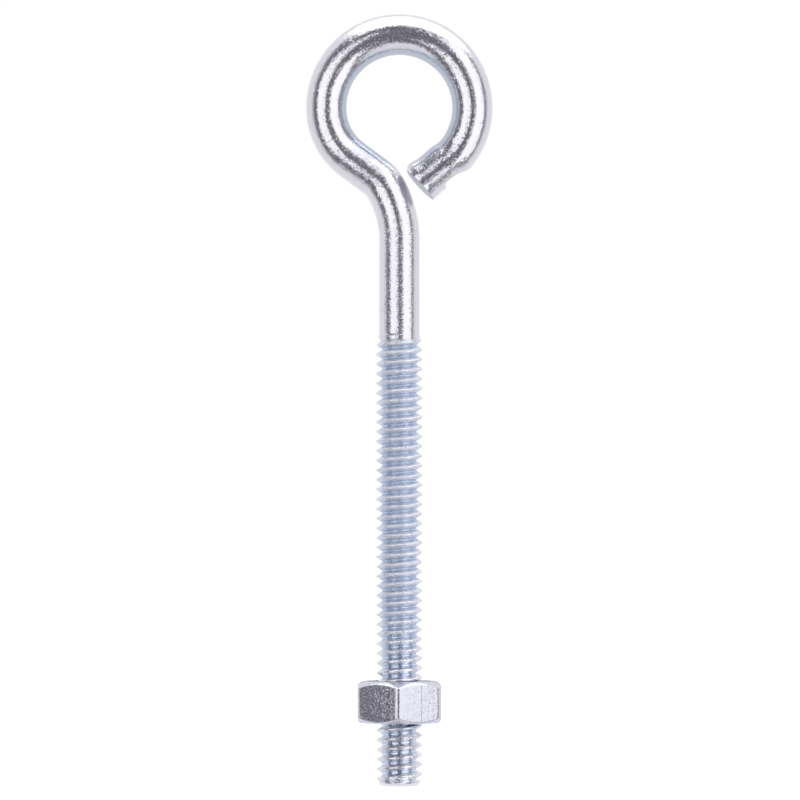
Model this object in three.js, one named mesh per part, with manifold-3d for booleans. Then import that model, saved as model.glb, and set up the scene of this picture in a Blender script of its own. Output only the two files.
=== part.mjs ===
// Bent-wire eye bolt, 1/4-20 UNC by 4 in, with one hex nut.
//
// Millimetres, +Z up. The origin is the centre of the shank's plain end. The shank stands along +Z,
// the eye lies in the XZ plane, and the eye's gap is on the +X side, low down beside the neck.
import * as THREE from 'three';
import { mergeVertices } from 'three/addons/utils/BufferGeometryUtils.js';
import Module from 'manifold-3d';

const wasm = await Module();
wasm.setup();

// Wire and overall length
const OVERALL_LENGTH = 101.6;
const WIRE_DIAMETER = 5.35;
const WIRE_SIDES = 16;
const WIRE_STEP = 1.25;

// Bends of the wire's centreline, in the order they follow the shank. Angles are in degrees.
const NECK_BEND = { radius: 14, angle: 20 };
const NECK_KINK = { radius: 4.1, angle: 33.5 };
const EYE_LEAD_IN_RADIUS = 8.3;
const EYE_RADIUS = 9.62;
const EYE_START_ANGLE = 185;
const EYE_SWEEP = 222;
const TAIL_CURL = { radius: 5, angle: 22 };
const TAIL_RETURN = { radius: 5, angle: 10 };
const TAIL_LENGTH = 3.8;

// Rolled thread, right-handed. Half widths are measured along the axis.
const PITCH = 1.27;
const MAJOR_DIAMETER = 6.1;
const MINOR_DIAMETER = 4.55;
const PITCH_DIAMETER = 5.33;
const FLANK_ANGLE = THREE.MathUtils.degToRad(30);
const THREAD_LENGTH = 59.1;
const THREAD_FADE_TURNS = 1.25;
const THREAD_FADE_LEAST = 0.05;
const CREST_HEIGHT_AT_X = 0.27;
const THREAD_SIDES = 12;
const END_CHAMFER_RADIUS = 2.2;
const END_CHAMFER_HEIGHT = 0.6;

// Hex nut
const NUT_ACROSS_FLATS = 10.9;
const NUT_HEIGHT = 5.56;
const NUT_BOTTOM = 8.24;
const NUT_TURN = THREE.MathUtils.degToRad(-1.5);
const NUT_TOP_FACE_DIAMETER = 9.7;
const NUT_BOTTOM_FACE_DIAMETER = 10.2;
const NUT_CHAMFER_SLOPE = 0.65;
const NUT_CHAMFER_SIDES = 48;
const NUT_BORE_DIAMETER = 5.1;
const NUT_COUNTERSINK_DIAMETER = 6.8;
const NUT_COUNTERSINK_DEPTH = 0.7;
const THREAD_CLEARANCE = 0.1;

// How far one solid runs into another where the two are joined or cut, and how far inside the
// faceted core or bore the ridge of the thread starts
const OVERLAP = 0.5;
const RIDGE_FOOT = 0.15;

const degToRad = THREE.MathUtils.degToRad;
const wireRadius = WIRE_DIAMETER / 2;
const eyeCentreHeight = OVERALL_LENGTH - wireRadius - EYE_RADIUS;

// ---- Solids --------------------------------------------------------------------------------------

// Turns a closed geometry into a solid that can be joined and cut.
function toSolid(geometry) {
  const bare = geometry.clone();
  bare.deleteAttribute('normal');
  bare.deleteAttribute('uv');
  const merged = mergeVertices(bare);
  return new wasm.Manifold(new wasm.Mesh({
    numProp: 3,
    vertProperties: new Float32Array(merged.attributes.position.array),
    triVerts: new Uint32Array(merged.index.array),
  }));
}

// Turns a solid back into a geometry with flat facets.
function toGeometry(solid) {
  const { vertProperties, triVerts } = solid.getMesh();
  const indexed = new THREE.BufferGeometry();
  indexed.setAttribute('position', new THREE.BufferAttribute(vertProperties, 3));
  indexed.setIndex(new THREE.BufferAttribute(triVerts, 1));
  const faceted = indexed.toNonIndexed();
  faceted.computeVertexNormals();
  return faceted;
}

// A solid of revolution about Z from [radius, height] pairs, listed upwards from the axis to the axis.
function turned(outline, sides = THREAD_SIDES) {
  const points = outline.map(([radius, height]) => new THREE.Vector2(radius, height));
  const geometry = new THREE.LatheGeometry(points, sides, Math.PI / 2);
  return toSolid(geometry.rotateX(Math.PI / 2));
}

function regularPolygon(radius, sides, firstAngle) {
  const corners = [];
  for (let i = 0; i < sides; i += 1) {
    const angle = firstAngle + (2 * Math.PI * i) / sides;
    corners.push(new THREE.Vector2(radius * Math.cos(angle), radius * Math.sin(angle)));
  }
  return new THREE.Shape(corners);
}

// ---- Thread --------------------------------------------------------------------------------------

// Half the axial width of the thread's ridge at a radius.
function ridgeHalfWidth(radius, clearance) {
  const atPitchLine = PITCH / 4 + clearance / Math.cos(FLANK_ANGLE);
  return atPitchLine - (radius - PITCH_DIAMETER / 2) * Math.tan(FLANK_ANGLE);
}

// The thread's ridge from one height to another, as a closed solid that starts at innerRadius.
// The crest sinks towards the inside over the last fadeTurns turns.
function helicalRidge({ bottom, top, innerRadius, clearance, fadeTurns }) {
  const crestRadius = MAJOR_DIAMETER / 2 + clearance;
  const innerHalfWidth = ridgeHalfWidth(innerRadius, clearance);
  const crestHalfWidth = ridgeHalfWidth(crestRadius, clearance);
  const firstTurn = Math.floor((bottom - CREST_HEIGHT_AT_X) / PITCH);
  const lastTurn = (top - CREST_HEIGHT_AT_X) / PITCH;
  const steps = Math.round((lastTurn - firstTurn) * THREAD_SIDES);
  const positions = [];
  const index = [];
  for (let i = 0; i <= steps; i += 1) {
    const turn = firstTurn + i / THREAD_SIDES;
    const angle = 2 * Math.PI * turn;
    const height = CREST_HEIGHT_AT_X + PITCH * turn;
    const left = fadeTurns > 0 ? (lastTurn - turn) / fadeTurns : 1;
    const fullness = THREE.MathUtils.clamp(left, THREAD_FADE_LEAST, 1);
    const crest = innerRadius + (crestRadius - innerRadius) * fullness;
    const section = [
      [innerRadius, -innerHalfWidth],
      [crest, -crestHalfWidth],
      [crest, crestHalfWidth],
      [innerRadius, innerHalfWidth],
    ];
    section.forEach(([radius, offset]) => {
      positions.push(radius * Math.cos(angle), radius * Math.sin(angle), height + offset);
    });
  }
  for (let i = 0; i < steps; i += 1) {
    for (let j = 0; j < 4; j += 1) {
      const here = 4 * i + j;
      const beside = 4 * i + ((j + 1) % 4);
      index.push(here, here + 4, beside + 4, here, beside + 4, beside);
    }
  }
  const last = 4 * steps;
  index.push(0, 1, 2, 0, 2, 3);
  index.push(last, last + 2, last + 1, last, last + 3, last + 2);
  const geometry = new THREE.BufferGeometry();
  geometry.setAttribute('position', new THREE.Float32BufferAttribute(positions, 3));
  geometry.setIndex(index);
  return toSolid(geometry);
}

// ---- Eye bolt ------------------------------------------------------------------------------------

// An arc in the XZ plane. The angle of a point is measured from +X towards +Z.
class FlatArc extends THREE.Curve {
  constructor(centre, radius, startAngle, sweep) {
    super();
    this.centre = centre;
    this.radius = radius;
    this.startAngle = startAngle;
    this.sweep = sweep;
  }

  getPoint(t, target = new THREE.Vector3()) {
    const angle = this.startAngle + this.sweep * t;
    const reach = new THREE.Vector3(Math.cos(angle), 0, Math.sin(angle)).multiplyScalar(this.radius);
    return target.copy(this.centre).add(reach);
  }
}

// Lays a wire in the XZ plane, each stretch tangent to the one before.
class WireBender {
  constructor(start, heading) {
    this.point = start;
    this.heading = heading;
    this.path = new THREE.CurvePath();
  }

  straight(length) {
    const direction = new THREE.Vector3(Math.cos(this.heading), 0, Math.sin(this.heading));
    const end = this.point.clone().addScaledVector(direction, length);
    this.path.add(new THREE.LineCurve3(this.point, end));
    this.point = end;
    return this;
  }

  // A positive angle bends to the left and a negative one to the right, seen along +Y.
  bend(radius, angle) {
    const toCentre = this.heading + (Math.sign(angle) * Math.PI) / 2;
    const reach = new THREE.Vector3(Math.cos(toCentre), 0, Math.sin(toCentre));
    const centre = this.point.clone().addScaledVector(reach, radius);
    const arc = new FlatArc(centre, radius, toCentre + Math.PI, angle);
    this.path.add(arc);
    this.point = arc.getPoint(1);
    this.heading += angle;
    return this;
  }
}

// The wire's centreline from inside the thread to the cut tail. The eye's centre lies on the shank's
// axis, which sets the length of the straight between the neck and the eye.
function wireCentreline(startHeight) {
  const bendEnd = degToRad(NECK_BEND.angle);
  const lean = bendEnd + degToRad(NECK_KINK.angle);
  const eyeStart = degToRad(EYE_START_ANGLE);
  const leadInOffset = EYE_LEAD_IN_RADIUS - EYE_RADIUS;
  const kinkEndX = NECK_BEND.radius * (Math.cos(bendEnd) - 1)
    + NECK_KINK.radius * (Math.cos(lean) - Math.cos(bendEnd));
  const neckStraight = (kinkEndX + EYE_LEAD_IN_RADIUS * Math.cos(lean)
    + leadInOffset * Math.cos(eyeStart)) / Math.sin(lean);
  const bendStartHeight = eyeCentreHeight
    - NECK_BEND.radius * Math.sin(bendEnd)
    - NECK_KINK.radius * (Math.sin(lean) - Math.sin(bendEnd))
    - neckStraight * Math.cos(lean)
    - EYE_LEAD_IN_RADIUS * Math.sin(lean)
    - leadInOffset * Math.sin(eyeStart);
  const leadInAngle = Math.PI + lean - eyeStart;
  const wire = new WireBender(new THREE.Vector3(0, 0, startHeight), Math.PI / 2);
  wire.straight(bendStartHeight - startHeight)
    .bend(NECK_BEND.radius, bendEnd)
    .bend(NECK_KINK.radius, degToRad(NECK_KINK.angle))
    .straight(neckStraight)
    .bend(EYE_LEAD_IN_RADIUS, -leadInAngle)
    .bend(EYE_RADIUS, -degToRad(EYE_SWEEP))
    .bend(TAIL_CURL.radius, -degToRad(TAIL_CURL.angle))
    .bend(TAIL_RETURN.radius, degToRad(TAIL_RETURN.angle))
    .straight(TAIL_LENGTH);
  return wire.path;
}

function bentWire(startHeight) {
  const path = wireCentreline(startHeight);
  const section = regularPolygon(wireRadius, WIRE_SIDES, 0);
  return toSolid(new THREE.ExtrudeGeometry(section, {
    steps: Math.ceil(path.getLength() / WIRE_STEP),
    extrudePath: path,
    bevelEnabled: false,
  }));
}

// The threaded length: the core and the ridge, trimmed square at the end and chamfered.
function threadedShank() {
  const coreRadius = MINOR_DIAMETER / 2;
  const outside = MAJOR_DIAMETER / 2 + OVERLAP;
  const chamferSlope = END_CHAMFER_HEIGHT / (MAJOR_DIAMETER / 2 - END_CHAMFER_RADIUS);
  const core = turned([
    [0, -OVERLAP],
    [coreRadius, -OVERLAP],
    [coreRadius, THREAD_LENGTH],
    [0, THREAD_LENGTH],
  ]);
  const ridge = helicalRidge({
    bottom: -PITCH,
    top: THREAD_LENGTH,
    innerRadius: coreRadius - RIDGE_FOOT,
    clearance: 0,
    fadeTurns: THREAD_FADE_TURNS,
  });
  const envelope = turned([
    [0, 0],
    [END_CHAMFER_RADIUS, 0],
    [outside, (outside - END_CHAMFER_RADIUS) * chamferSlope],
    [outside, THREAD_LENGTH + PITCH],
    [0, THREAD_LENGTH + PITCH],
  ]);
  return core.add(ridge).intersect(envelope);
}

function eyeBoltGeometry() {
  return toGeometry(threadedShank().add(bentWire(THREAD_LENGTH - OVERLAP)));
}

// ---- Hex nut -------------------------------------------------------------------------------------

// A cone that opens the thread at a face of the nut; direction is +1 upwards out of the top face.
function countersink(faceHeight, direction) {
  const mouth = NUT_COUNTERSINK_DIAMETER / 2;
  const throat = NUT_BORE_DIAMETER / 2 - OVERLAP / 2;
  const slope = (mouth - NUT_BORE_DIAMETER / 2) / NUT_COUNTERSINK_DEPTH;
  const inner = faceHeight - (direction * (mouth - throat)) / slope;
  const outer = faceHeight + direction * OVERLAP;
  const wide = mouth + slope * OVERLAP;
  const outline = [[0, inner], [throat, inner], [wide, outer], [0, outer]];
  return turned(direction > 0 ? outline : outline.reverse());
}

// Everything is cut with the nut where it rests on the bolt, so that the two threads keep in step.
function nutGeometry() {
  const top = NUT_BOTTOM + NUT_HEIGHT;
  const cornerRadius = NUT_ACROSS_FLATS / Math.sqrt(3);
  const outside = cornerRadius + OVERLAP;
  const hexagon = regularPolygon(cornerRadius, 6, NUT_TURN + Math.PI / 6);
  const prism = toSolid(new THREE.ExtrudeGeometry(hexagon, {
    depth: NUT_HEIGHT,
    bevelEnabled: false,
  }).translate(0, 0, NUT_BOTTOM));
  const chamfers = turned([
    [0, NUT_BOTTOM],
    [NUT_BOTTOM_FACE_DIAMETER / 2, NUT_BOTTOM],
    [outside, NUT_BOTTOM + (outside - NUT_BOTTOM_FACE_DIAMETER / 2) * NUT_CHAMFER_SLOPE],
    [outside, top - (outside - NUT_TOP_FACE_DIAMETER / 2) * NUT_CHAMFER_SLOPE],
    [NUT_TOP_FACE_DIAMETER / 2, top],
    [0, top],
  ], NUT_CHAMFER_SIDES);
  const boreRadius = NUT_BORE_DIAMETER / 2;
  const bore = turned([
    [0, NUT_BOTTOM - OVERLAP],
    [boreRadius, NUT_BOTTOM - OVERLAP],
    [boreRadius, top + OVERLAP],
    [0, top + OVERLAP],
  ]);
  const groove = helicalRidge({
    bottom: NUT_BOTTOM - PITCH,
    top: top + PITCH,
    innerRadius: boreRadius - RIDGE_FOOT,
    clearance: THREAD_CLEARANCE,
    fadeTurns: 0,
  });
  return toGeometry(prism.intersect(chamfers)
    .subtract(bore)
    .subtract(groove)
    .subtract(countersink(top, 1))
    .subtract(countersink(NUT_BOTTOM, -1)));
}

// ---- Assembly ------------------------------------------------------------------------------------

const zincPlate = { color: 0xc8cbd3, roughness: 0.25, metalness: 1 };

const eyeBolt = new THREE.Mesh(eyeBoltGeometry(), new THREE.MeshStandardMaterial(zincPlate));
eyeBolt.name = 'eye_bolt';

const hexNut = new THREE.Mesh(nutGeometry(), new THREE.MeshStandardMaterial(zincPlate));
hexNut.name = 'hex_nut';

const group = new THREE.Group();
group.add(eyeBolt, hexNut);

export default group;
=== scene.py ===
"""Bent-wire eye bolt with its hex nut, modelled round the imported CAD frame.

Metres, +Z up. The shank stands on the origin, the eye lies in the XZ plane, and the eye's gap is on
the +X side. Sizes in the settings are in millimetres and degrees, and are read through mm().
"""

import math

import bmesh
import bpy
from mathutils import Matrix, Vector


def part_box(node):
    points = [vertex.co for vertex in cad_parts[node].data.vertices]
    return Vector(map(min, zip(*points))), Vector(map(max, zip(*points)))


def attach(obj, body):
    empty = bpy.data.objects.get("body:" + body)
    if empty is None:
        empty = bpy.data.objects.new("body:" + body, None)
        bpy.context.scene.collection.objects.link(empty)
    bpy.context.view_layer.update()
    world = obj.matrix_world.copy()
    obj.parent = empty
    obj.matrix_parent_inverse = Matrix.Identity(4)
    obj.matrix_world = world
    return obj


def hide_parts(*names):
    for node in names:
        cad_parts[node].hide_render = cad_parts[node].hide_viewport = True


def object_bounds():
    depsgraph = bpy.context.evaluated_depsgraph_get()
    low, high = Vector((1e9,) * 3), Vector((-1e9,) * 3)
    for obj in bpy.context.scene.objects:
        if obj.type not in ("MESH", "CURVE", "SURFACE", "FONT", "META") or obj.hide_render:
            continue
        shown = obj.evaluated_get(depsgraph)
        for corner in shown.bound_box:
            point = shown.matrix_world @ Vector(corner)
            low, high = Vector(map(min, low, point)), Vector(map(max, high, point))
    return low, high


bl_info = {
    "name": "Eye Bolt",
    "version": (1, 0, 0),
    "blender": (4, 5, 0),
    "location": "View3D > Sidebar > Eye Bolt",
    "description": "Models a bent-wire eye bolt and its hex nut in bright zinc plate",
    "category": "Add Mesh",
}

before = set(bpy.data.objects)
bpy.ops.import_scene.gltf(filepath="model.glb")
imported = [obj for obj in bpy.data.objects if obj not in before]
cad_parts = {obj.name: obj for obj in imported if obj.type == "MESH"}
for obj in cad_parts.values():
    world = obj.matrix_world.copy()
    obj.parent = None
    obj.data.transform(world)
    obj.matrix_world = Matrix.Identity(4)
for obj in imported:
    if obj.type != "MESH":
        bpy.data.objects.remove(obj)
CAD_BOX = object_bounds()
BOLT_LOW, BOLT_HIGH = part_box("eye_bolt")
NUT_LOW, NUT_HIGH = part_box("hex_nut")

MM = 0.001
FRONT = Vector((0.0, -1.0, 0.0))

# Mesh resolution. Distances are in metres.
WIRE_SIDES = 48
THREAD_STEPS = 48
ENVELOPE_SIDES = 96
PAD_SIDES = 72
CHAMFER_SIDES = 144
COUNTERSINK_SIDES = 96
BEND_STEP = 0.34 * MM
FINE_MERGE = 0.001 * MM
MERGE = 0.002 * MM


def mm(value):
    return value * MM


def to_mm(value):
    return value / MM


# ---- Settings ------------------------------------------------------------------------------------

def length(name, description, default, **limits):
    """A length in millimetres."""
    return bpy.props.FloatProperty(
        name=name, description=description, default=default, precision=3, **limits
    )


def angle(name, description, degrees):
    """An angle, kept in radians and shown in degrees."""
    return bpy.props.FloatProperty(
        name=name, description=description, default=math.radians(degrees), subtype="ANGLE",
        unit="ROTATION",
    )


def factor(name, description, default):
    return bpy.props.FloatProperty(
        name=name, description=description, default=default, min=0.0, max=1.0, subtype="FACTOR"
    )


def colour(name, description, default):
    return bpy.props.FloatVectorProperty(
        name=name, description=description, default=default, size=3, min=0.0, max=1.0, subtype="COLOR"
    )


class EyeBoltWire(bpy.types.PropertyGroup):
    """The bent wire. Lengths are in millimetres."""

    diameter: length("Wire diameter", "Diameter of the drawn wire", 5.35, min=1.0)
    eye_radius: length("Eye radius", "Radius of the wire's centreline round the eye", 9.62, min=3.0)
    neck_radius: length("Neck radius", "Radius of the gentle bend that leaves the shank", 14.0)
    neck_angle: angle("Neck angle", "Angle of the gentle bend that leaves the shank", 31.0)
    kink_radius: length("Kink radius", "Radius of the tight bend under the eye", 3.3)
    kink_angle: angle("Kink angle", "Angle of the tight bend under the eye", 22.5)
    lead_radius: length("Lead-in radius", "Radius of the bend between the neck and the eye", 8.3)
    eye_start: angle("Eye start", "Where the round of the eye begins, from +X towards +Z", 185.0)
    eye_sweep: angle("Eye sweep", "Angle of the round of the eye", 222.0)
    curl_radius: length("Curl radius", "Radius of the two bends before the tail", 5.0)
    curl_angle: angle("Curl angle", "Angle of the inward bend before the tail", 22.0)
    return_angle: angle("Return angle", "Angle of the bend back to the straight tail", 10.0)
    tail_length: length("Tail length", "Length of the straight, cut tail", 3.8)


class EyeBoltThread(bpy.types.PropertyGroup):
    """The rolled thread. Lengths are in millimetres."""

    pitch: length("Pitch", "Distance between neighbouring crests", 1.27, min=0.2)
    major: length("Major diameter", "Diameter over the crests", to_mm(BOLT_HIGH.y - BOLT_LOW.y))
    minor: length("Minor diameter", "Diameter at the roots", 4.55)
    pitch_line: length("Pitch diameter", "Diameter where ridge and groove are equally wide", 5.33)
    flank: angle("Flank angle", "Lean of the thread's flanks", 30.0)
    top: length("Thread length", "Height at which the groove has run out", 59.1)
    phase: length("Crest height", "Height of a crest on the +X side", 0.27)


class EyeBoltNut(bpy.types.PropertyGroup):
    """The hex nut. Lengths are in millimetres."""

    bottom: length("Nut height", "Height of the nut's lower face", to_mm(NUT_LOW.z))
    height: length("Nut thickness", "Distance between the nut's faces", to_mm(NUT_HIGH.z - NUT_LOW.z))
    across_flats: length("Across flats", "Width across two opposite flats", 10.9)
    turn: angle("Turn", "Turn of the nut about the shank", -1.5)
    corner: length("Corner radius", "Radius of the nut's upright edges", 0.42)
    edge: length("Edge radius", "Rounding of the chamfers' edges", 0.11)
    seam_offset: length("Seam", "Distance from the middle of a flat to the seam on it", 0.41)
    top_face: length("Top face", "Diameter of the flat inside the top chamfer", 9.7)
    bottom_face: length("Bottom face", "Diameter of the flat inside the bottom chamfer", 10.2)
    bore: length("Bore", "Diameter inside the nut's thread", 5.1)
    clearance: length("Thread clearance", "Gap between the crest and the nut's root", 0.1)


class EyeBoltFinish(bpy.types.PropertyGroup):
    """The zinc plate, with painted shade inside the eye and a painted highlight on the thread's crests.
    """

    wire_colour: colour("Wire colour", "Zinc on the smooth wire", (0.84, 0.83, 0.87))
    # Painted shade: the zinc inside the eye is tinted darker and bluer where the eye hides light from
    # itself.
    inner_shade_colour: colour("Inner colour", "Duller, bluer zinc inside the eye", (0.45, 0.51, 0.61))
    thread_colour: colour("Thread colour", "Bluer zinc on the rolled thread", (0.74, 0.83, 0.97))
    # Painted highlight: paler colour on the crests and upper flanks, while the roots keep the bluer
    # thread colour as painted shade.
    crest_highlight_colour: colour("Crest colour", "Paler zinc on the crests of the thread", (0.93, 0.93, 0.97))
    dull_colour: colour("Dull colour", "Dull streaks on the thread", (0.40, 0.46, 0.58))
    shear_colour: colour("Shear colour", "The torn face of the cut tail", (0.60, 0.61, 0.66))
    nut_colour: colour("Nut colour", "Zinc on the nut", (0.71, 0.71, 0.78))
    roughness: factor("Roughness", "Roughness of the plate", 0.17)
    grain: length("Grain", "Size of the plate's grain", 0.12, min=0.02)
    grain_depth: length("Grain depth", "Height of the plate's grain", 0.005, min=0.0)
    bolt_sparkle: factor("Bolt sparkle", "How far the plate's facets lean on the bolt", 0.11)
    bolt_flash: factor("Bolt flash", "How far the sharpest facets lean on the bolt", 0.24)
    nut_sparkle: factor("Nut sparkle", "How far the plate's facets lean on the nut", 0.2)


class EyeBoltStage(bpy.types.PropertyGroup):
    """Floor, lights and camera."""

    lens: bpy.props.FloatProperty(name="Lens", description="Focal length", default=410.0, unit="CAMERA")
    distance: bpy.props.FloatProperty(
        name="Camera distance", description="Camera to shank", default=1.2, unit="LENGTH"
    )
    floor_colour: colour("Floor colour", "Pale floor", (0.9, 0.9, 0.9))
    dim_colour: colour("Dim colour", "The room behind the camera", (0.135, 0.13, 0.16))
    pale_colour: colour("Pale colour", "The room behind, above and below the bolt", (0.95, 0.965, 1.0))
    brightness: bpy.props.FloatProperty(
        name="Brightness", description="Radiance of the brightest softbox", default=1.1, min=0.0
    )


# ---- Mesh tools ----------------------------------------------------------------------------------

def deselect_all():
    if bpy.context.object and bpy.context.object.mode != "OBJECT":
        bpy.ops.object.mode_set(mode="OBJECT")
    bpy.ops.object.select_all(action="DESELECT")


def make_active(piece):
    deselect_all()
    piece.select_set(True)
    bpy.context.view_layer.objects.active = piece


def edit(piece):
    """Opens a piece in edit mode with nothing selected."""
    make_active(piece)
    bpy.ops.object.mode_set(mode="EDIT")
    bpy.ops.mesh.select_all(action="DESELECT")


def leave_edit():
    bpy.ops.object.mode_set(mode="OBJECT")


def select_where(piece, kind, test):
    """Selects the vertices or edges of the piece in edit mode that pass a test."""
    bpy.ops.mesh.select_mode(type={"verts": "VERT", "edges": "EDGE"}[kind])
    bpy.ops.mesh.select_all(action="DESELECT")
    mesh = bmesh.from_edit_mesh(piece.data)
    for item in getattr(mesh, kind):
        if test(item):
            item.select_set(True)
    bmesh.update_edit_mesh(piece.data)


def place_in_mesh(piece):
    """Puts the piece's place in its mesh, so that the object sits at the origin."""
    make_active(piece)
    bpy.ops.object.transform_apply(location=True, rotation=True, scale=True)


def modify(piece, kind, **settings):
    """Adds a modifier to the piece and applies it."""
    make_active(piece)
    modifier = piece.modifiers.new(kind.lower(), kind)
    for name, value in settings.items():
        setattr(modifier, name, value)
    bpy.ops.object.modifier_apply(modifier=modifier.name)


def combine(piece, other, operation):
    """Joins, cuts or trims the piece with another one, which is then removed."""
    modify(piece, "BOOLEAN", operation=operation, object=other, solver="EXACT")
    bpy.data.objects.remove(other)


def merge_doubles(piece, distance):
    edit(piece)
    bpy.ops.mesh.select_all(action="SELECT")
    bpy.ops.mesh.remove_doubles(threshold=distance)
    bpy.ops.mesh.normals_make_consistent(inside=False)
    leave_edit()


def close_ends(piece):
    """Fills every open loop of the piece with a face."""
    edit(piece)
    bpy.ops.mesh.select_mode(type="EDGE")
    bpy.ops.mesh.select_non_manifold(extend=False)
    bpy.ops.mesh.edge_face_add()
    bpy.ops.mesh.select_all(action="SELECT")
    bpy.ops.mesh.normals_make_consistent(inside=False)
    leave_edit()


def smooth(piece, degrees):
    make_active(piece)
    bpy.ops.object.shade_smooth_by_angle(angle=math.radians(degrees))


# ---- Turned and threaded shapes ------------------------------------------------------------------

def profile(name, points):
    """A line of edges through (radius, height) points in millimetres, in the XZ plane."""
    first_radius, first_height = points[0]
    deselect_all()
    bpy.ops.mesh.primitive_plane_add(size=mm(1.0), location=(0.0, 0.0, 0.0))
    piece = bpy.context.object
    piece.name = name
    bpy.ops.object.mode_set(mode="EDIT")
    bpy.ops.mesh.select_mode(type="VERT")
    bpy.ops.mesh.select_all(action="SELECT")
    bpy.ops.mesh.merge(type="CENTER")
    bpy.ops.mesh.select_all(action="SELECT")
    bpy.ops.transform.translate(value=(mm(first_radius), 0.0, mm(first_height)))
    for here, there in zip(points, points[1:]):
        step = (mm(there[0] - here[0]), 0.0, mm(there[1] - here[1]))
        bpy.ops.mesh.extrude_region_move(TRANSFORM_OT_translate={"value": step})
    leave_edit()
    return piece


def turned(name, points, sides):
    """A solid of revolution from (radius, height) points that start and end on the axis."""
    piece = profile(name, points)
    modify(
        piece, "SCREW", angle=2 * math.pi, screw_offset=0.0, steps=sides, render_steps=sides,
        use_merge_vertices=True, merge_threshold=FINE_MERGE,
    )
    merge_doubles(piece, MERGE)
    return piece


def ridge_half_width(thread, radius, clearance):
    """Half the axial width of the thread's ridge at a radius, in millimetres."""
    at_pitch_line = thread.pitch / 4 + clearance / math.cos(thread.flank)
    return at_pitch_line - (radius - thread.pitch_line / 2) * math.tan(thread.flank)


def threaded_rod(name, thread, low, high, clearance, root_radius, rounding):
    """A closed rod with the helical thread, from at or below low to at or above high, in millimetres.

    One pitch of the outline is rounded at the crest and the root, and screwed up the axis.
    """
    crest_radius = thread.major / 2 + clearance
    crest = ridge_half_width(thread, crest_radius, clearance)
    root = thread.pitch / 2 - ridge_half_width(thread, root_radius, clearance)
    turns_below = math.ceil((thread.phase - low) / thread.pitch) + 1
    start = thread.phase - turns_below * thread.pitch
    turns = math.ceil((high - start) / thread.pitch) + 1
    middle = start + thread.pitch / 2
    piece = profile(name, [
        (crest_radius, start),
        (crest_radius, start + crest),
        (root_radius, middle - root),
        (root_radius, middle + root),
        (crest_radius, start + thread.pitch - crest),
        (crest_radius, start + thread.pitch),
    ])
    edit(piece)
    select_where(piece, "verts", lambda v: len(v.link_edges) == 2)
    bpy.ops.mesh.bevel(offset=mm(rounding), segments=4, affect="VERTICES")
    leave_edit()
    modify(
        piece, "SCREW", angle=2 * math.pi, screw_offset=mm(thread.pitch), iterations=turns,
        steps=THREAD_STEPS, render_steps=THREAD_STEPS,
    )
    merge_doubles(piece, MERGE)
    cap_helix(piece)
    return piece


END_STEP = 2.0


def cap_helix(piece):
    """Closes the two stepped ends of a screwed rod with a cone to the middle of each."""
    for end in (min, max):
        edit(piece)
        mesh = bmesh.from_edit_mesh(piece.data)
        heights = [v.co.z for v in mesh.verts]
        limit = end(heights)
        reach = mm(END_STEP)
        select_where(piece, "edges", lambda e: e.is_boundary and all(
            abs(v.co.z - limit) < reach for v in e.verts))
        bpy.ops.mesh.extrude_region_move()
        bpy.ops.mesh.merge(type="CENTER")
        leave_edit()
    edit(piece)
    bpy.ops.mesh.select_all(action="SELECT")
    bpy.ops.mesh.normals_make_consistent(inside=False)
    leave_edit()


# ---- Bent wire -----------------------------------------------------------------------------------

def turn_left(direction):
    """A direction in the XZ plane, turned a quarter turn to the left, seen along +Y."""
    return Vector((-direction.z, 0.0, direction.x))


class WireBender:
    """Lays a wire in the XZ plane by extruding and spinning its open end."""

    def __init__(self, name, start_height, radius, sides):
        deselect_all()
        bpy.ops.mesh.primitive_circle_add(
            vertices=sides, radius=radius, location=(0.0, 0.0, start_height)
        )
        self.piece = bpy.context.object
        self.piece.name = name
        place_in_mesh(self.piece)
        self.point = Vector((0.0, 0.0, start_height))
        self.heading = math.pi / 2
        bpy.ops.object.mode_set(mode="EDIT")
        bpy.ops.mesh.select_mode(type="EDGE")
        bpy.ops.mesh.select_all(action="SELECT")

    def direction(self):
        return Vector((math.cos(self.heading), 0.0, math.sin(self.heading)))

    def straight(self, distance, steps, growth=1.0):
        """Extrudes the end; growth scales the section over the whole distance."""
        each = growth ** (1.0 / steps)
        for _ in range(steps):
            step = self.direction() * (distance / steps)
            bpy.ops.mesh.extrude_region_move(TRANSFORM_OT_translate={"value": step})
            self.point = self.point + step
            if growth != 1.0:
                bpy.ops.transform.resize(value=(each, each, each), center_override=self.point)

    def bend(self, radius, bend_angle, steps):
        """Spins the end; a positive angle bends to the left, seen along +Y."""
        side = math.copysign(1.0, bend_angle)
        to_centre = self.heading + side * math.pi / 2
        centre = self.point + Vector((math.cos(to_centre), 0.0, math.sin(to_centre))) * radius
        bpy.ops.mesh.spin(steps=steps, angle=side * abs(bend_angle), center=centre, axis=(0.0, 1.0, 0.0))
        away = to_centre + math.pi + bend_angle
        self.point = centre + Vector((math.cos(away), 0.0, math.sin(away))) * radius
        self.heading += bend_angle

    def swell(self, diameter, stations):
        """Extrudes the end through (distance, width) stations, and keeps its left side straight."""
        left = self.point + turn_left(self.direction()) * (diameter / 2)
        width = diameter
        for distance, next_width in stations:
            step = self.direction() * distance
            bpy.ops.mesh.extrude_region_move(TRANSFORM_OT_translate={"value": step})
            left = left + step
            ratio = next_width / width
            bpy.ops.transform.resize(value=(ratio, 1.0, ratio), center_override=left)
            width = next_width

    def finish(self):
        leave_edit()
        close_ends(self.piece)
        return self.piece


def steps_for(distance):
    return max(2, round(distance / BEND_STEP))


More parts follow.
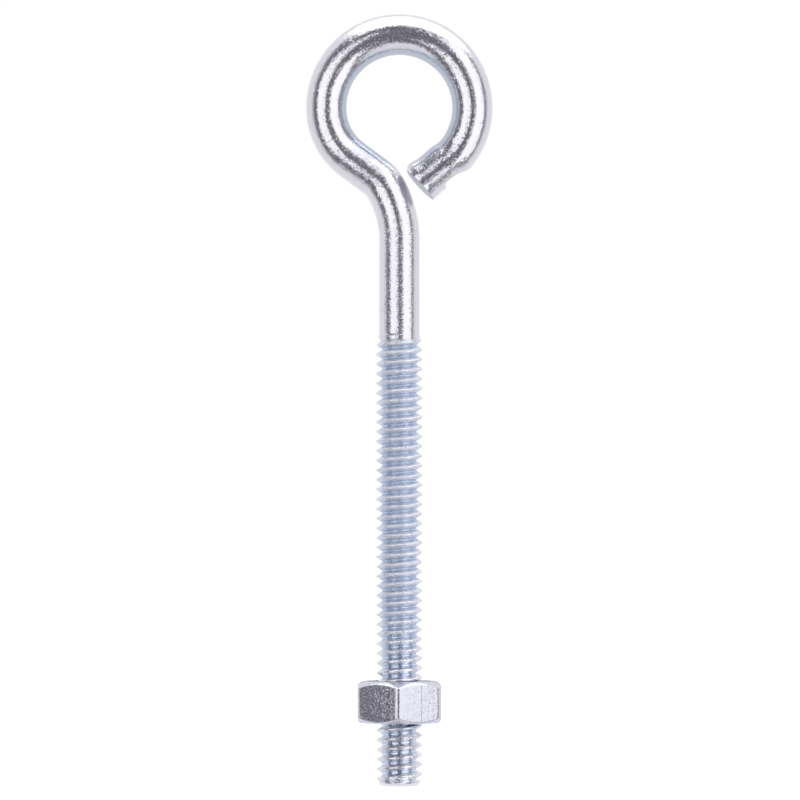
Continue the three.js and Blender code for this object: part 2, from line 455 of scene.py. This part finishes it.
# How far back from the cut the tail starts to swell, and its stations: the distance from the one
# before, and how much wider than the wire the tail is there. Millimetres. The last ones round the
# inner corner off and run past the cut.
TAIL_SWELL_LENGTH = 2.4
TAIL_SWELL = (
    (0.5, 0.03),
    (0.5, 0.12),
    (0.5, 0.24),
    (0.3, 0.26),
    (0.25, 0.2),
    (0.2, 0.08),
    (0.15, -0.06),
    (0.12, -0.2),
    (0.1, -0.38),
    (0.08, -0.6),
    (0.15, -1.1),
)
# The wire starts as a cone inside the thread, so that the two join without a gap. Millimetres.
CONE_INSET = 0.15
CONE_START = 1.7
CONE_HEIGHT = 1.5
CONE_STEPS = 6
SHANK_STEPS = 30
TAIL_STEPS = 6


def bent_wire(wire, thread):
    """The wire from the cone inside the thread to the cut tail, and the plane of the cut."""
    radius = mm(wire.diameter / 2)
    core = mm(thread.minor / 2 - CONE_INSET)
    cone_start = mm(thread.top - CONE_START)
    cone_height = mm(CONE_HEIGHT)
    lean = wire.neck_angle + wire.kink_angle
    lead_offset = mm(wire.lead_radius - wire.eye_radius)
    neck, kink, lead = mm(wire.neck_radius), mm(wire.kink_radius), mm(wire.lead_radius)
    eye, curl = mm(wire.eye_radius), mm(wire.curl_radius)
    kink_end_x = neck * (math.cos(wire.neck_angle) - 1.0) + kink * (
        math.cos(lean) - math.cos(wire.neck_angle)
    )
    # The straight of the neck is as long as it takes for the eye to be centred over the shank.
    neck_straight = (
        kink_end_x + lead * math.cos(lean) + lead_offset * math.cos(wire.eye_start)
    ) / math.sin(lean)
    eye_height = BOLT_HIGH.z - radius - eye
    bend_start = (
        eye_height
        - neck * math.sin(wire.neck_angle)
        - kink * (math.sin(lean) - math.sin(wire.neck_angle))
        - neck_straight * math.cos(lean)
        - lead * math.sin(lean)
        - lead_offset * math.sin(wire.eye_start)
    )
    lead_angle = math.pi + lean - wire.eye_start
    bender = WireBender("bolt_wire", cone_start, core, WIRE_SIDES)
    bender.straight(cone_height, CONE_STEPS, growth=radius / core)
    bender.straight(bend_start - cone_start - cone_height, SHANK_STEPS)
    bender.bend(neck, wire.neck_angle, steps_for(neck * wire.neck_angle))
    bender.bend(kink, wire.kink_angle, steps_for(kink * wire.kink_angle))
    bender.straight(neck_straight, steps_for(neck_straight))
    bender.bend(lead, -lead_angle, steps_for(lead * lead_angle))
    bender.bend(eye, -wire.eye_sweep, steps_for(eye * wire.eye_sweep))
    bender.bend(curl, -wire.curl_angle, steps_for(curl * wire.curl_angle))
    bender.bend(curl, wire.return_angle, steps_for(curl * wire.return_angle))
    bender.straight(mm(wire.tail_length - TAIL_SWELL_LENGTH), TAIL_STEPS)
    stations = [(mm(step), mm(wire.diameter + grown)) for step, grown in TAIL_SWELL]
    bender.swell(mm(wire.diameter), stations)
    along = bender.direction()
    corner = bender.point + along * mm(TAIL_SWELL_LENGTH) + turn_left(along) * radius
    piece = bender.finish()
    plane = shear_plane(corner, along)
    cut_tail(piece, *plane)
    press_tail(piece, corner, along)
    return piece, plane


# The cut leans this much askew in the eye's plane and towards the front, as slopes, and passes
# through a point this far past the tail's outer corner and in from it. Millimetres.
SHEAR_ASKEW = 0.042
SHEAR_TO_FRONT = 0.09
SHEAR_PAST = 0.12
SHEAR_IN = 2.73
BLADE_THICKNESS = 0.6
BLADE_WIDTH = 9.0


def shear_plane(corner, along):
    """A point and the normal of the tail's cut."""
    inwards = -turn_left(along)
    normal = (along - inwards * SHEAR_ASKEW + FRONT * SHEAR_TO_FRONT).normalized()
    return corner + along * mm(SHEAR_PAST) + inwards * mm(SHEAR_IN), normal


def cut_tail(piece, point, normal):
    """Shears the tail with a thin blade."""
    thickness = mm(BLADE_THICKNESS)
    deselect_all()
    bpy.ops.mesh.primitive_cube_add(
        size=1.0,
        location=point + normal * (thickness / 2),
        rotation=normal.to_track_quat("Z", "Y").to_euler(),
    )
    blade = bpy.context.object
    blade.name = "shear_blade"
    blade.scale = (mm(BLADE_WIDTH), mm(BLADE_WIDTH), thickness)
    place_in_mesh(blade)
    combine(piece, blade, "DIFFERENCE")


# The outline of the press die: distance back from the tail's outer corner, and outwards from the
# line of the tail's outside. Millimetres. The die reaches this far in front and behind.
TAIL_PRESS = (
    (2.24, 1.5),
    (2.28, -0.05),
    (2.6, -0.56),
    (3.6, -0.6),
    (4.6, -0.48),
    (5.3, -0.22),
    (5.9, 0.02),
    (6.6, 0.12),
    (6.8, 1.5),
)
DIE_REACH = 5.0


def press_tail(piece, corner, along):
    """Presses the outside of the curl flat, with a small step near the cut."""
    outwards = turn_left(along)
    points = []
    for back, out in TAIL_PRESS:
        place = corner - along * mm(back) + outwards * mm(out)
        points.append((to_mm(place.x), to_mm(place.z)))
    die = profile("press_die", points)
    edit(die)
    bpy.ops.mesh.select_all(action="SELECT")
    bpy.ops.mesh.edge_face_add()
    bpy.ops.mesh.select_all(action="SELECT")
    bpy.ops.transform.translate(value=(0.0, -mm(DIE_REACH), 0.0))
    through = (0.0, mm(2 * DIE_REACH), 0.0)
    bpy.ops.mesh.extrude_region_move(TRANSFORM_OT_translate={"value": through})
    bpy.ops.mesh.select_all(action="SELECT")
    bpy.ops.mesh.normals_make_consistent(inside=False)
    leave_edit()
    combine(piece, die, "DIFFERENCE")


def thread_envelope(thread):
    """The outline that trims the thread, in millimetres: square and chamfered at the end, and tapered
    to a low lip where the groove runs out.
    """
    crest = thread.major / 2
    wire_radius = thread.pitch_line / 2
    lip_end = thread.top + 0.52
    return turned("envelope", [
        (0.0, 0.0),
        (crest - 0.85, 0.0),
        (crest - 0.2, 0.45),
        (crest + 0.01, 0.9),
        (crest + 0.01, thread.top - 2.2),
        (wire_radius + 0.14, thread.top),
        (wire_radius + 0.12, thread.top + 0.15),
        (wire_radius + 0.07, thread.top + 0.3),
        (wire_radius - 0.08, lip_end),
        (0.0, lip_end),
    ], ENVELOPE_SIDES)


# How far the end pad stands past the thread's roots, and how far off centre it is. Millimetres.
PAD_OVERHANG = 0.25
PAD_OFFSET = (-0.26, -0.1)


def end_pad(thread):
    """The rounded pad that closes the last groove on one side, where the metal was pushed over.

    It stays low enough to clear the bore of the nut when the nut is flush with the end.
    """
    edge = thread.minor / 2 + PAD_OVERHANG
    pad = turned("end_pad", [
        (0.0, 0.0),
        (edge - 0.7, 0.0),
        (edge - 0.28, 0.06),
        (edge - 0.08, 0.2),
        (edge, 0.34),
        (edge - 0.05, 0.48),
        (edge - 0.2, 0.6),
        (0.0, 0.64),
    ], PAD_SIDES)
    make_active(pad)
    bpy.ops.transform.translate(value=(mm(PAD_OFFSET[0]), mm(PAD_OFFSET[1]), 0.0))
    place_in_mesh(pad)
    return pad


# Rods and cutters run on this far past the faces that trim them or that they cut. Millimetres.
OVERRUN = 1.0
BOLT_THREAD_ROUNDING = 0.07
BOLT_SMOOTH_DEGREES = 38.0


def build_bolt(scene):
    """The whole bolt in one piece, and the plane of the tail's cut."""
    wire = scene.eye_bolt_wire
    thread = scene.eye_bolt_thread
    bolt = threaded_rod(
        "eye_bolt_body", thread, -OVERRUN, thread.top + OVERRUN, 0.0, thread.minor / 2,
        BOLT_THREAD_ROUNDING,
    )
    combine(bolt, thread_envelope(thread), "INTERSECT")
    combine(bolt, end_pad(thread), "UNION")
    bent, plane = bent_wire(wire, thread)
    combine(bolt, bent, "UNION")
    merge_doubles(bolt, FINE_MERGE)
    smooth(bolt, BOLT_SMOOTH_DEGREES)
    return bolt, plane


# ---- Nut -----------------------------------------------------------------------------------------

CHAMFER_SLOPE = 0.65
NUT_EDGE_DEGREES = 24.0
NUT_SMOOTH_DEGREES = 30.0
NUT_THREAD_ROUNDING = 0.05
# How much wider than the thread the countersinks' mouths are, and how deep they go. Millimetres.
MOUTH_EXTRA = 0.35
COUNTERSINK_TIP = 1.2
COUNTERSINK_RISE = 0.5
# The seam's cutter is this wide, and its middle stands out from the flat by this part of its width.
SEAM_WIDTH = 0.22
SEAM_STAND_OUT = 0.45


def nut_blank(nut):
    """The hexagonal blank with rounded upright edges, trimmed by the two chamfers."""
    radius = nut.across_flats / math.sqrt(3.0)
    deselect_all()
    bpy.ops.mesh.primitive_cylinder_add(
        vertices=6, radius=mm(radius), depth=mm(nut.height),
        location=(0.0, 0.0, mm(nut.bottom + nut.height / 2)), rotation=(0.0, 0.0, nut.turn),
    )
    blank = bpy.context.object
    blank.name = "hex_nut_body"
    place_in_mesh(blank)
    edit(blank)
    select_where(blank, "edges", lambda e: abs(e.verts[0].co.z - e.verts[1].co.z) > mm(1.0))
    bpy.ops.mesh.bevel(offset=mm(nut.corner), segments=5, affect="EDGES")
    leave_edit()
    outside = radius + 0.5
    top = nut.bottom + nut.height
    combine(blank, turned("chamfers", [
        (0.0, nut.bottom),
        (nut.bottom_face / 2, nut.bottom),
        (outside, nut.bottom + (outside - nut.bottom_face / 2) * CHAMFER_SLOPE),
        (outside, top - (outside - nut.top_face / 2) * CHAMFER_SLOPE),
        (nut.top_face / 2, top),
        (0.0, top),
    ], CHAMFER_SIDES), "INTERSECT")
    merge_doubles(blank, MERGE)
    modify(
        blank, "BEVEL", width=mm(nut.edge), segments=3, limit_method="ANGLE",
        angle_limit=math.radians(NUT_EDGE_DEGREES), use_clamp_overlap=True,
    )
    return blank


def seam_cutter(nut):
    """A thin square bar that leaves a shallow upright seam on one flat."""
    facing = nut.turn - math.radians(60.0)
    outwards = Vector((math.cos(facing), math.sin(facing), 0.0))
    beside = Vector((-outwards.y, outwards.x, 0.0))
    width = mm(SEAM_WIDTH)
    reach = mm(nut.across_flats / 2) + width * SEAM_STAND_OUT
    place = outwards * reach + beside * mm(nut.seam_offset)
    place.z = mm(nut.bottom + nut.height / 2)
    deselect_all()
    bpy.ops.mesh.primitive_cube_add(
        size=1.0, location=place, rotation=(0.0, 0.0, facing + math.pi / 4)
    )
    bar = bpy.context.object
    bar.name = "seam_bar"
    bar.scale = (width, width, mm(nut.height + 2 * OVERRUN))
    place_in_mesh(bar)
    return bar


def build_nut(scene):
    """The nut: blank, seam, internal thread and a countersink at each face."""
    nut = scene.eye_bolt_nut
    thread = scene.eye_bolt_thread
    top = nut.bottom + nut.height
    body = nut_blank(nut)
    combine(body, seam_cutter(nut), "DIFFERENCE")
    tap = threaded_rod(
        "tap", thread, nut.bottom - OVERRUN, top + OVERRUN, nut.clearance, nut.bore / 2,
        NUT_THREAD_ROUNDING,
    )
    combine(body, tap, "DIFFERENCE")
    mouth = thread.major / 2 + MOUTH_EXTRA + COUNTERSINK_RISE
    for face, side in ((top, 1.0), (nut.bottom, -1.0)):
        tip = face - side * COUNTERSINK_TIP
        rise = face + side * COUNTERSINK_RISE
        points = [(0.0, tip), (mouth, rise), (0.0, rise)]
        cone = turned("countersink", points if side > 0 else points[::-1], COUNTERSINK_SIDES)
        combine(body, cone, "DIFFERENCE")
    smooth(body, NUT_SMOOTH_DEGREES)
    return body


# ---- Shader maths --------------------------------------------------------------------------------

class Socket:
    """A shader socket that takes part in Python expressions; each operation adds a Math node."""

    def __init__(self, tree, socket):
        self.tree = tree
        self.socket = socket

    def math(self, operation, *values):
        return self.tree.node("ShaderNodeMath", {"operation": operation}, [self, *values])

    def __add__(self, other):
        return self.math("ADD", other)

    __radd__ = __add__

    def __sub__(self, other):
        return self.math("SUBTRACT", other)

    def __rsub__(self, other):
        return self.tree.node("ShaderNodeMath", {"operation": "SUBTRACT"}, [other, self])

    def __mul__(self, other):
        return self.math("MULTIPLY", other)

    __rmul__ = __mul__


class Tree:
    """A material's or world's node tree. node() adds any node and returns its first output."""

    def __init__(self, owner):
        owner.use_nodes = True
        self.tree = owner.node_tree
        self.tree.nodes.clear()

    def add(self, kind, settings=(), values=()):
        """Adds a node: settings first, then values or links by socket name or place."""
        made = self.tree.nodes.new(kind)
        for name, value in dict(settings).items():
            setattr(made, name, value)
        pairs = values.items() if isinstance(values, dict) else enumerate(values)
        for key, value in pairs:
            if isinstance(value, Socket):
                self.tree.links.new(value.socket, made.inputs[key])
            else:
                made.inputs[key].default_value = value
        return made

    def node(self, kind, settings=(), values=(), output=0):
        return Socket(self, self.add(kind, settings, values).outputs[output])

    def ramp(self, value, low, high):
        """0 below low, 1 above high, smooth between."""
        return self.node("ShaderNodeMapRange", {"interpolation_type": "SMOOTHSTEP"}, {
            "Value": value, "From Min": low, "From Max": high, "To Min": 0.0, "To Max": 1.0,
        })

    def noise(self, position, size, detail):
        """Noise from 0 to 1 with patches of a size in millimetres."""
        return self.node("ShaderNodeTexNoise", values={
            "Vector": position, "Scale": 1.0 / mm(size), "Detail": detail, "Roughness": 0.6,
        })

    def vector(self, operation, *values):
        return self.node("ShaderNodeVectorMath", {"operation": operation}, values)

    def height(self, position):
        return self.node("ShaderNodeSeparateXYZ", values=[position], output="Z")

    def above(self, position, band, start=0.0):
        """0 under a band of heights in millimetres counted from a start, 1 over it."""
        low, high = band
        return self.ramp(self.height(position), mm(start + low), mm(start + high))

    def flat(self, position, keep):
        """The position with its axes scaled, or dropped by a 0."""
        return self.vector("MULTIPLY", position, keep)

    def length(self, vector):
        return self.node("ShaderNodeVectorMath", {"operation": "LENGTH"}, [vector], output="Value")

    def mix(self, amount, first, second):
        made = self.add("ShaderNodeMix", {"data_type": "RGBA"}, {0: amount})
        for name, value in ((6, first), (7, second)):
            if isinstance(value, Socket):
                self.tree.links.new(value.socket, made.inputs[name])
            else:
                made.inputs[name].default_value = (*value, 1.0)
        return Socket(self, made.outputs[2])


# How much clouds tint the plate and change its roughness, and the same for scuffs and facets.
CLOUD_COLOUR = (0.66, 0.66, 0.72)
CLOUD_TINT = 0.14
CLOUD_ROUGH = 0.05
SCUFF_ROUGH = 0.03
FACET_ROUGH = 0.14


def zinc(name, finish, sparkle, flash, base_for, rough_for, relief_for):
    """Bright zinc plate: fine crystal facets over a soft grain, with cloudy and scuffed patches.

    sparkle is how far most facets lean, and flash how far the sharpest do. The three functions take
    (tree, position) and give the piece's own colour, roughness and extra relief, which is in units
    of the grain's depth.
    """
    material = bpy.data.materials.new(name)
    tree = Tree(material)
    position = tree.node("ShaderNodeTexCoord", output="Object")
    cloud = tree.noise(position, finish.grain * 14.0, 3.0)
    scuff = tree.ramp(tree.noise(position, finish.grain * 5.0, 4.0), 0.56, 0.72)
    cells = tree.node("ShaderNodeTexVoronoi", values={
        "Vector": position, "Scale": 1.0 / mm(finish.grain),
    }, output="Color")
    clouded = tree.ramp(cloud, 0.35, 0.75) * CLOUD_TINT
    base = tree.mix(clouded, base_for(tree, position), CLOUD_COLOUR)
    cell = tree.node("ShaderNodeSeparateXYZ", values=[cells], output="X")
    rough = rough_for(tree, position) + (cloud - 0.5) * CLOUD_ROUGH + scuff * SCUFF_ROUGH
    rough = rough + (cell - 0.5) * FACET_ROUGH
    strength = sparkle + cell * cell * cell * (flash - sparkle)
    lean = tree.vector("SUBTRACT", cells, (0.5, 0.5, 0.5))
    lean = tree.node("ShaderNodeVectorMath", {"operation": "SCALE"}, {
        "Vector": lean, "Scale": strength,
    })
    facing = tree.node("ShaderNodeNewGeometry", output="Normal")
    facet_normal = tree.vector("NORMALIZE", tree.vector("ADD", facing, lean))
    normal = tree.node("ShaderNodeBump", values={
        "Strength": 1.0, "Distance": mm(finish.grain_depth),
        "Height": tree.noise(position, finish.grain * 1.6, 1.0) + relief_for(tree, position),
        "Normal": facet_normal,
    })
    shader = tree.add("ShaderNodeBsdfPrincipled", values={
        "Base Color": base, "Metallic": 1.0, "Roughness": rough, "Normal": normal,
    })
    out = tree.add("ShaderNodeOutputMaterial")
    tree.tree.links.new(shader.outputs[0], out.inputs[0])
    return material


# Bands of height in which the bolt's finish changes, in millimetres: the first three from the end of
# the shank, the others from the top of the thread.
TIP_BAND = (0.5, 1.1)
PALE_BAND = (8.0, 22.0)
WORN_BAND = (12.0, 26.0)
RUN_OUT_BAND = (-0.8, -0.1)
SHANK_BAND = (13.0, 18.0)
# How strongly each mark changes the thread's colour, and how strongly the painted shade darkens and
# blues the inside of the eye.
FLECKS = 0.7
LOW_TURNS = 0.45
DULL_STREAKS = 0.6
INNER_SHADE = 0.75
# What each zone adds to the roughness: the shank, the polished and the worn thread, and the cut.
SHANK_ROUGH = 0.05
POLISHED_ROUGH = -0.07
WORN_ROUGH = 0.24
CUT_ROUGH = 0.25
# Relief on the thread in units of the grain's depth, on polished turns and what wear adds.
POLISHED_RELIEF = 6.0
WORN_RELIEF = 12.0


def bolt_zinc(scene, cut_point, cut_normal):
    """Bright on the eye, a little rougher on the shank, and soft blue on the thread, with a painted
    highlight that makes the crests paler and leaves the roots bluer as painted shade. The inside of the
    eye carries painted shade. The sheared face of the tail is duller.
    """
    finish = scene.eye_bolt_finish
    wire = scene.eye_bolt_wire
    thread = scene.eye_bolt_thread
    eye_centre = (0.0, 0.0, BOLT_HIGH.z - mm(wire.diameter / 2 + wire.eye_radius))
    inner = mm(wire.eye_radius - wire.diameter / 2)

    def layers(tree, position):
        """Flat patches, wider than they are high, that rolling leaves on the thread."""
        return tree.noise(tree.flat(position, (1.0, 1.0, 4.0)), 0.6, 3.0)

    def worn(tree, position):
        """0 on the polished lower turns of the thread, 1 on the rougher ones above them."""
        return tree.above(position, WORN_BAND)

    def on_cut(tree, position):
        """1 on the sheared face of the tail."""
        from_cut = tree.vector("SUBTRACT", position, tuple(cut_point))
        depth = tree.node("ShaderNodeVectorMath", {"operation": "DOT_PRODUCT"}, [
            from_cut, tuple(cut_normal),
        ], output="Value")
        near = 1.0 - tree.ramp(tree.length(from_cut), mm(4.0), mm(4.5))
        return near * (1.0 - tree.ramp(depth.math("ABSOLUTE"), mm(0.02), mm(0.08)))

    def on_thread(tree, position):
        """1 on the thread, 0 on the smooth wire above it."""
        return 1.0 - tree.above(position, RUN_OUT_BAND, thread.top)

    def base(tree, position):
        # crest paints a highlight: the crests and upper flanks turn paler and the roots stay bluer, as
        # painted shade. tip gives the end pad the same pale colour.
        radius = tree.length(tree.flat(position, (1.0, 1.0, 0.0)))
        crest = tree.ramp(radius, mm(thread.minor / 2 + 0.12), mm(thread.pitch_line / 2 + 0.2))
        tip = 1.0 - tree.above(position, TIP_BAND)
        flecks = tree.ramp(layers(tree, position), 0.35, 0.65) - 0.5
        low = 1.0 - tree.above(position, PALE_BAND)
        pale = (crest + flecks * FLECKS + low * LOW_TURNS).math("MAXIMUM", tip)
        thread_here = tree.mix(pale, tuple(finish.thread_colour), tuple(finish.crest_highlight_colour))
        dull = tree.ramp(tree.noise(tree.flat(position, (1.0, 1.0, 3.0)), 0.3, 3.0), 0.5, 0.66)
        dulled = dull * (1.0 - tip) * DULL_STREAKS
        thread_here = tree.mix(dulled, thread_here, tuple(finish.dull_colour))
        colour_here = tree.mix(on_thread(tree, position), tuple(finish.wire_colour), thread_here)
        # Painted shade: inside darkens and blues the zinc round the inner side of the eye.
        arm = tree.vector("SUBTRACT", tree.flat(position, (1.0, 0.0, 1.0)), eye_centre)
        inside = 1.0 - tree.ramp(tree.length(arm), inner + mm(0.1), inner + mm(1.3))
        colour_here = tree.mix(inside * INNER_SHADE, colour_here, tuple(finish.inner_shade_colour))
        return tree.mix(on_cut(tree, position), colour_here, tuple(finish.shear_colour))

    def rough(tree, position):
        shank = 1.0 - tree.above(position, SHANK_BAND, thread.top)
        rolled = on_thread(tree, position) * (worn(tree, position) * WORN_ROUGH + POLISHED_ROUGH)
        cut = on_cut(tree, position)
        return finish.roughness + shank * SHANK_ROUGH + rolled + cut * CUT_ROUGH

    def relief(tree, position):
        depth = worn(tree, position) * WORN_RELIEF + POLISHED_RELIEF
        return on_thread(tree, position) * layers(tree, position) * depth

    return zinc("bolt_zinc", finish, finish.bolt_sparkle, finish.bolt_flash, base, rough, relief)


# What the nut and its streaks add to the roughness, the streaks' middle value, and their relief in
# units of the grain's depth.
NUT_ROUGH = 0.02
NUT_STREAK_ROUGH = 0.2
NUT_STREAK_MIDDLE = 0.42
NUT_RELIEF = 5.0


def nut_zinc(scene):
    """Speckled zinc with faint upright streaks from the die, and the thread's blue inside the bore."""
    finish = scene.eye_bolt_finish
    bore = mm(scene.eye_bolt_nut.bore / 2)

    def base(tree, position):
        radius = tree.length(tree.flat(position, (1.0, 1.0, 0.0)))
        outside = tree.ramp(radius, bore, bore + mm(1.2))
        return tree.mix(outside, tuple(finish.thread_colour), tuple(finish.nut_colour))

    def streaks(tree, position):
        """Upright streaks: the pattern is stretched along the axis."""
        return tree.noise(tree.flat(position, (1.0, 1.0, 0.08)), 0.7, 2.0)

    def rough(tree, position):
        streaked = NUT_STREAK_ROUGH * (streaks(tree, position) - NUT_STREAK_MIDDLE)
        return finish.roughness + NUT_ROUGH + streaked

    def relief(tree, position):
        return NUT_RELIEF * streaks(tree, position)

    return zinc("nut_zinc", finish, finish.nut_sparkle, finish.nut_sparkle, base, rough, relief)


# ---- Stage ---------------------------------------------------------------------------------------

STAGE_DISTANCE = 1.0


def towards(azimuth, elevation):
    """Unit vector from the bolt; azimuth 0 is the camera's side, and grows to its right."""
    a, e = math.radians(azimuth), math.radians(elevation)
    return Vector((math.sin(a) * math.cos(e), -math.cos(a) * math.cos(e), math.sin(e)))


def softbox(name, centre, direction, width, height, radiance):
    """A rectangular light at STAGE_DISTANCE metres that faces the bolt, hidden from the camera."""
    data = bpy.data.lights.new(name, "AREA")
    data.shape = "RECTANGLE"
    data.size = width
    data.size_y = height
    data.energy = radiance * math.pi * width * height
    light = bpy.data.objects.new(name, data)
    light.location = centre + direction * STAGE_DISTANCE
    light.rotation_euler = direction.to_track_quat("Z", "Y").to_euler()
    light.visible_camera = False
    bpy.context.scene.collection.objects.link(light)


def upright_softbox(name, centre, azimuths, elevations, radiance):
    """An upright softbox that covers a range of azimuths and elevations, in degrees."""
    low, high = azimuths
    width = 2 * STAGE_DISTANCE * math.tan(math.radians(high - low) / 2)
    bottom, top = (math.tan(math.radians(e)) * STAGE_DISTANCE for e in elevations)
    middle = centre + Vector((0.0, 0.0, (bottom + top) / 2))
    softbox(name, middle, towards((low + high) / 2, 0.0), width, top - bottom, radiance)


def level_softbox(name, centre, across, deep, radiance):
    """A level softbox over the bolt, between two X and two Y limits counted from the bolt."""
    middle = centre + Vector((sum(across) / 2, sum(deep) / 2, 0.0))
    up = Vector((0.0, 0.0, 1.0))
    softbox(name, middle, up, across[1] - across[0], deep[1] - deep[0], radiance)


def build_lights(stage, centre):
    """Two upright softboxes in front of the bolt and a level one over it, with dark gaps between."""
    full = stage.brightness
    upright_softbox("front_left", centre, (-53.0, -9.0), (-24.0, 29.0), full * 0.92)
    upright_softbox("front_right", centre, (19.0, 71.0), (-33.0, 42.0), full * 0.95)
    level_softbox("top", centre, (-0.6, 1.1), (-0.82, 0.6), full)


def build_world(stage):
    """A dim room behind the camera that is pale behind, above and below the bolt.

    A dim slot far back gives the bolt a dark line to reflect when it is seen from behind. The
    limits are parts of the unit direction that is looked along. The camera itself sees white.
    """
    world = bpy.data.worlds.new("studio")
    bpy.context.scene.world = world
    tree = Tree(world)
    direction = tree.node("ShaderNodeTexCoord", output="Generated")
    across = tree.node("ShaderNodeSeparateXYZ", values=[direction], output="X")
    behind = tree.node("ShaderNodeSeparateXYZ", values=[direction], output="Y") - across * 0.06
    height = tree.height(direction)
    narrow = 1.0 - tree.ramp(across.math("ABSOLUTE"), 0.12, 0.22)
    low = 1.0 - tree.ramp(height.math("ABSOLUTE"), 0.16, 0.34)
    slot = narrow * low * tree.ramp(behind, 0.0, 0.1)
    back = tree.ramp(behind, -0.3, 0.12) * 0.8 + tree.ramp(behind, 0.7, 0.95) * 0.2 - slot * 0.85
    below = 0.8 - 0.8 * tree.ramp(height, -0.8, -0.66)
    above = 0.8 * tree.ramp(height, 0.78, 0.9)
    pale = back.math("MAXIMUM", below).math("MAXIMUM", above)
    room = tree.mix(pale, tuple(stage.dim_colour), tuple(stage.pale_colour))
    camera = tree.node("ShaderNodeLightPath", output="Is Camera Ray")
    background = tree.add("ShaderNodeBackground", values={
        "Color": tree.mix(camera, room, (1.0, 1.0, 1.0)), "Strength": 1.03,
    })
    out = tree.add("ShaderNodeOutputWorld")
    tree.tree.links.new(background.outputs[0], out.inputs[0])


def build_floor(stage):
    """A wide pale floor just under the end of the shank."""
    deselect_all()
    bpy.ops.mesh.primitive_circle_add(
        vertices=96, radius=3.0, fill_type="NGON", location=(0.0, 0.0, CAD_BOX[0].z - mm(0.05))
    )
    floor = bpy.context.object
    floor.name = "floor"
    floor.visible_glossy = False
    floor.visible_shadow = False
    material = bpy.data.materials.new("pale_floor")
    tree = Tree(material)
    shader = tree.add("ShaderNodeBsdfPrincipled", values={
        "Base Color": (*stage.floor_colour, 1.0), "Roughness": 0.9,
        "Emission Color": (1.0, 1.0, 1.0, 1.0), "Emission Strength": 0.55,
    })
    out = tree.add("ShaderNodeOutputMaterial")
    tree.tree.links.new(shader.outputs[0], out.inputs[0])
    floor.data.materials.append(material)


# The camera looks square at the eye's plane, from this far to the right of the shank. Millimetres.
CAMERA_OFFSET = 0.09


def build_camera(stage):
    low, high = CAD_BOX
    data = bpy.data.cameras.new("camera")
    data.lens = stage.lens
    camera = bpy.data.objects.new("camera", data)
    middle = Vector((mm(CAMERA_OFFSET), 0.0, (low.z + high.z) / 2))
    camera.location = middle + FRONT * stage.distance
    camera.rotation_euler = (math.pi / 2, 0.0, 0.0)
    data.clip_start = 0.01
    data.clip_end = 20.0
    bpy.context.scene.collection.objects.link(camera)
    bpy.context.scene.camera = camera


# ---- Operators and panel -------------------------------------------------------------------------

class EYEBOLT_OT_bolt(bpy.types.Operator):
    """Model the bent wire with its rolled thread, in place of the CAD eye bolt"""

    bl_idname = "eyebolt.make_bolt"
    bl_label = "Make Eye Bolt"

    def execute(self, context):
        bolt, cut_plane = build_bolt(context.scene)
        bolt.data.materials.append(bolt_zinc(context.scene, *cut_plane))
        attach(bolt, "eye_bolt")
        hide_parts("eye_bolt")
        return {"FINISHED"}


class EYEBOLT_OT_nut(bpy.types.Operator):
    """Model the hex nut with its internal thread, in place of the CAD nut"""

    bl_idname = "eyebolt.make_nut"
    bl_label = "Make Hex Nut"

    def execute(self, context):
        nut = build_nut(context.scene)
        nut.data.materials.append(nut_zinc(context.scene))
        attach(nut, "hex_nut")
        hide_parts("hex_nut")
        return {"FINISHED"}


class EYEBOLT_OT_stage(bpy.types.Operator):
    """Set up the pale floor, the soft studio light and the camera"""

    bl_idname = "eyebolt.make_stage"
    bl_label = "Make Stage"

    def execute(self, context):
        stage = context.scene.eye_bolt_stage
        low, high = CAD_BOX
        context.scene.view_settings.view_transform = "Standard"
        build_world(stage)
        build_floor(stage)
        build_lights(stage, (low + high) / 2)
        build_camera(stage)
        return {"FINISHED"}


class EYEBOLT_PT_panel(bpy.types.Panel):
    """Settings and buttons for the eye bolt"""

    bl_idname = "EYEBOLT_PT_panel"
    bl_label = "Eye Bolt"
    bl_space_type = "VIEW_3D"
    bl_region_type = "UI"
    bl_category = "Eye Bolt"

    def draw(self, context):
        for name in GROUPS:
            box = self.layout.box()
            settings = getattr(context.scene, name)
            for item in settings.__annotations__:
                box.prop(settings, item)
        for operator in OPERATORS:
            self.layout.operator(operator.bl_idname)


GROUPS = {
    "eye_bolt_wire": EyeBoltWire,
    "eye_bolt_thread": EyeBoltThread,
    "eye_bolt_nut": EyeBoltNut,
    "eye_bolt_finish": EyeBoltFinish,
    "eye_bolt_stage": EyeBoltStage,
}
OPERATORS = (EYEBOLT_OT_bolt, EYEBOLT_OT_nut, EYEBOLT_OT_stage)
CLASSES = (*GROUPS.values(), *OPERATORS, EYEBOLT_PT_panel)


def register():
    for item in CLASSES:
        bpy.utils.register_class(item)
    for name, group in GROUPS.items():
        setattr(bpy.types.Scene, name, bpy.props.PointerProperty(type=group))


def unregister():
    for name in GROUPS:
        delattr(bpy.types.Scene, name)
    for item in reversed(CLASSES):
        bpy.utils.unregister_class(item)


def main():
    register()
    bpy.ops.eyebolt.make_bolt()
    bpy.ops.eyebolt.make_nut()
    bpy.ops.eyebolt.make_stage()


if __name__ == "__main__":
    main()
